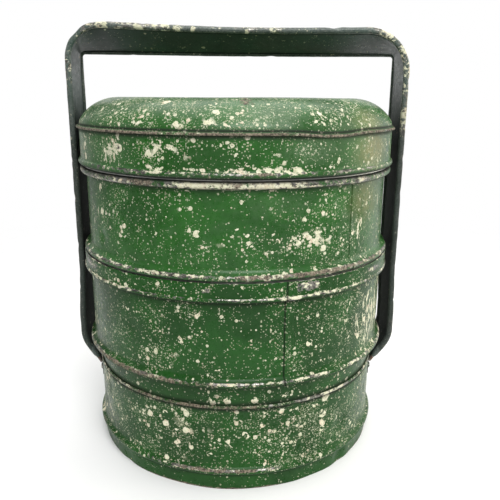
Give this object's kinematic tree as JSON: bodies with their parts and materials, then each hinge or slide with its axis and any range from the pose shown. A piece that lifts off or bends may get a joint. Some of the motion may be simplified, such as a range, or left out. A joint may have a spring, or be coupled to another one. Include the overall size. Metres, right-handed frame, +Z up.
{
  "type": "stacking food carrier",
  "caption": "Round stacking tin food carrier: domed lid and nested tiers inside a fixed strap handle, worn green paint with cream spatter.",
  "frame": {"origin": "centre of the circle that the foot stands on", "axes": "+Z up along the tins' common axis, +X through one leg of the handle, -Y towards the front, where the grip's higher edge is"},
  "size_m": [0.22, 0.2052, 0.2706],
  "materials": {
    "painted_tin": "worn green gloss paint with cream spatter, chips and rust",
    "painted_strap": "dark green paint, worn to grey metal along the rolled edges",
    "bare_tin": "dull stained tinplate",
    "iron_wire": "dull iron wire",
    "bare_steel": "dull steel"
  },
  "bodies": {
    "bottom_tier": {"bottom_tier_wall": "painted_tin", "bottom_tier_base_wire": "iron_wire", "bottom_tier_collar": "painted_tin", "bottom_tier_floor": "bare_tin", "bottom_tier_foot": "painted_tin", "handle_strap": "painted_strap", "handle_front_wire": "iron_wire", "handle_back_wire": "iron_wire", "handle_plates": "bare_steel", "handle_rivets": "bare_steel"},
    "middle_tier": {"middle_tier_wall": "painted_tin", "middle_tier_base_wire": "iron_wire", "middle_tier_floor": "bare_tin", "middle_tier_foot": "bare_tin"},
    "top_tier": {"top_tier_wall": "painted_tin", "top_tier_rim_wire": "iron_wire", "top_tier_base_wire": "iron_wire", "top_tier_floor": "bare_tin", "top_tier_foot": "bare_tin"},
    "lid": {"lid_crown": "painted_tin", "lid_band": "painted_tin", "lid_rim_wire": "iron_wire", "lid_skirt": "bare_tin"}
  },
  "joints": [
    {"name": "middle_tier_lift", "type": "slide", "parent": "bottom_tier", "child": "middle_tier", "axis": [0, 0, 1], "range_m": [0, 0.0082]},
    {"name": "top_tier_lift", "type": "slide", "parent": "middle_tier", "child": "top_tier", "axis": [0, 0, 1], "range_m": [0, 0.0082]},
    {"name": "lid_lift", "type": "slide", "parent": "top_tier", "child": "lid", "axis": [0, 0, 1], "range_m": [0, 0.0082]}
  ]
}
